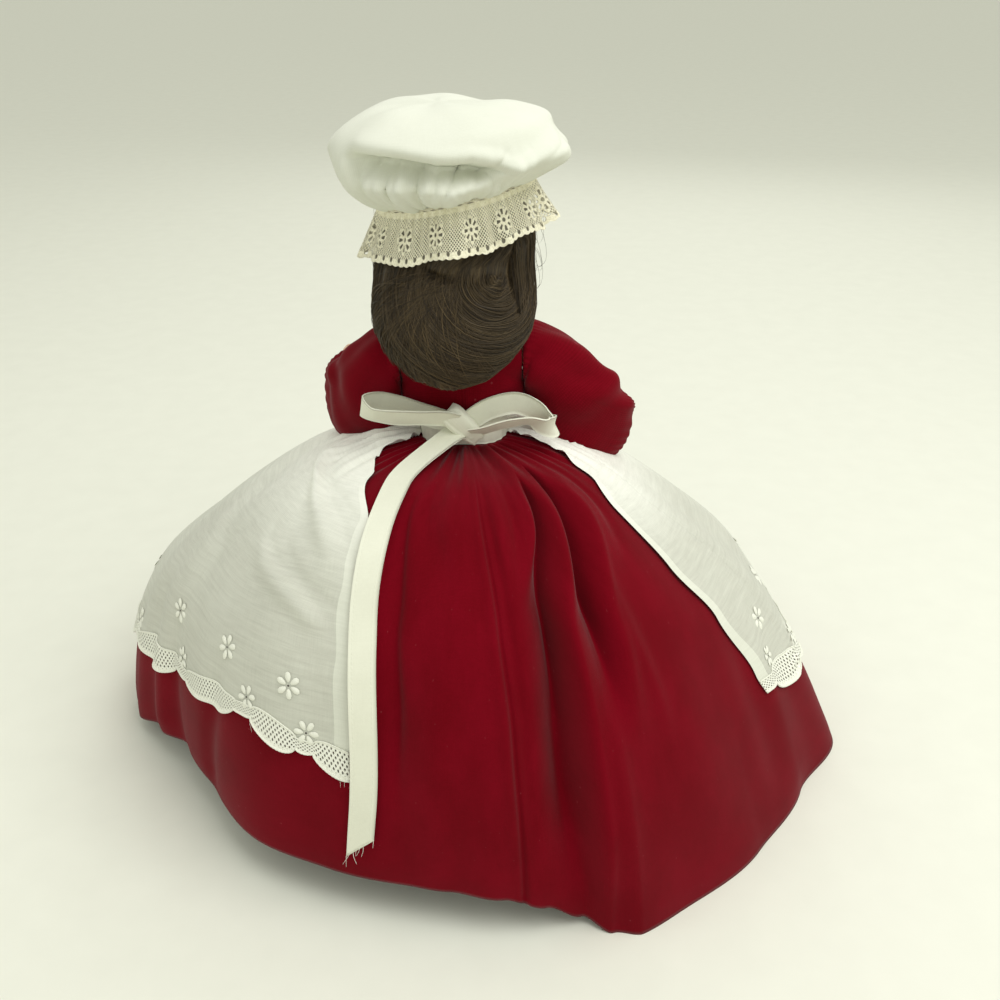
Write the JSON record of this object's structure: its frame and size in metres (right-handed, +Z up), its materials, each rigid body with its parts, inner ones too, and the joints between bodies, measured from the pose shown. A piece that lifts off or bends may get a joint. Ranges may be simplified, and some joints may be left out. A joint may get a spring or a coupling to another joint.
{
  "type": "topsy turvy doll",
  "caption": "Two half dolls joined at the waist under one reversible skirt; each has a swivel head with sleep eyes, swinging arms, wig and mob cap, and one wears a tied apron.",
  "frame": {"origin": "on the table under the middle of the skirt's outline", "axes": "+Z up through the upper doll, faces look to -Y, backs to +Y, the upper doll's left hand to +X"},
  "size_m": [0.3098, 0.2622, 0.2629],
  "materials": {
    "skin": "matte painted hard plastic, flesh tone",
    "dress": "plain woven burgundy cotton",
    "second_dress": "plain woven dusty blue cotton",
    "apron": "thin see-through white lawn",
    "lace": "cream machine lace",
    "cap": "white cotton lawn",
    "tie": "white cotton tape with stitched edges",
    "hair": "dark brown fibre wig",
    "eye": "glossy eyeball with a painted iris and lid",
    "metal": "bare wire and weight",
    "elastic": "covered round elastic",
    "plug": "turned wooden dowel"
  },
  "bodies": {
    "torsos": {"apron_border": "apron", "apron_panel": "apron", "apron_waistband": "tie", "bow_knot": "tie", "bow_loop_left": "tie", "bow_loop_right": "tie", "inner_skirt": "second_dress", "lower_arm_elastic": "elastic", "lower_bodice": "second_dress", "lower_torso": "skin", "neck_elastic": "elastic", "outer_skirt": "dress", "tie_tail": "tie", "upper_arm_elastic": "elastic", "upper_bodice": "dress", "upper_torso": "skin", "waist_plug": "plug"},
    "upper_head_turn": {"upper_head": "skin", "upper_neck_bar": "metal", "upper_wig": "hair", "upper_cap_crown": "cap", "upper_cap_elastic": "elastic", "upper_cap_lace": "lace"},
    "upper_sleep_eyes": {"upper_eye_left": "eye", "upper_eye_right": "eye", "upper_eye_rocker": "metal"},
    "upper_arm_left": {"upper_arm_left": "skin", "upper_sleeve_left": "dress"},
    "upper_arm_right": {"upper_arm_right": "skin", "upper_sleeve_right": "dress"},
    "lower_head_turn": {"lower_head": "skin", "lower_neck_bar": "metal", "lower_wig": "hair", "lower_cap_crown": "cap", "lower_cap_elastic": "elastic", "lower_cap_lace": "lace"},
    "lower_sleep_eyes": {"lower_eye_left": "eye", "lower_eye_right": "eye", "lower_eye_rocker": "metal"},
    "lower_arm_left": {"lower_arm_left": "skin", "lower_sleeve_left": "second_dress"},
    "lower_arm_right": {"lower_arm_right": "skin", "lower_sleeve_right": "second_dress"}
  },
  "joints": [
    {"name": "upper_neck_turn", "type": "hinge", "parent": "torsos", "child": "upper_head_turn", "pos_m": [0.00452, 0.0104, 0.18729], "axis": [0.0209, 0, 0.9998], "range_deg": [-25, 25]},
    {"name": "lower_neck_turn", "type": "hinge", "parent": "torsos", "child": "lower_head_turn", "pos_m": [0.00254, 0.0104, 0.09271], "axis": [-0.0209, 0, -0.9998], "range_deg": [-25, 25]},
    {"name": "upper_arm_left_swing", "type": "hinge", "parent": "torsos", "child": "upper_arm_left", "pos_m": [0.0258, 0.0104, 0.17154], "axis": [0.9998, 0, -0.0209], "range_deg": [-118, 0]},
    {"name": "upper_arm_right_swing", "type": "hinge", "parent": "torsos", "child": "upper_arm_right", "pos_m": [-0.01739, 0.0104, 0.17244], "axis": [0.9998, 0, -0.0209], "range_deg": [-150, 0]},
    {"name": "lower_arm_left_swing", "type": "hinge", "parent": "torsos", "child": "lower_arm_left", "pos_m": [-0.01873, 0.0104, 0.10846], "axis": [-0.9998, 0, 0.0209], "range_deg": [-75, 8]},
    {"name": "lower_arm_right_swing", "type": "hinge", "parent": "torsos", "child": "lower_arm_right", "pos_m": [0.02446, 0.0104, 0.10755], "axis": [-0.9998, 0, 0.0209], "range_deg": [-75, 8]},
    {"name": "upper_eyes_close", "type": "hinge", "parent": "upper_head_turn", "child": "upper_sleep_eyes", "pos_m": [0.00508, -0.0065, 0.21398], "axis": [0.9998, 0, -0.0209], "range_deg": [0, 70]},
    {"name": "lower_eyes_open", "type": "hinge", "parent": "lower_head_turn", "child": "lower_sleep_eyes", "pos_m": [0.00198, -0.0065, 0.06602], "axis": [-0.9998, 0, 0.0209], "range_deg": [-70, 0]}
  ]
}
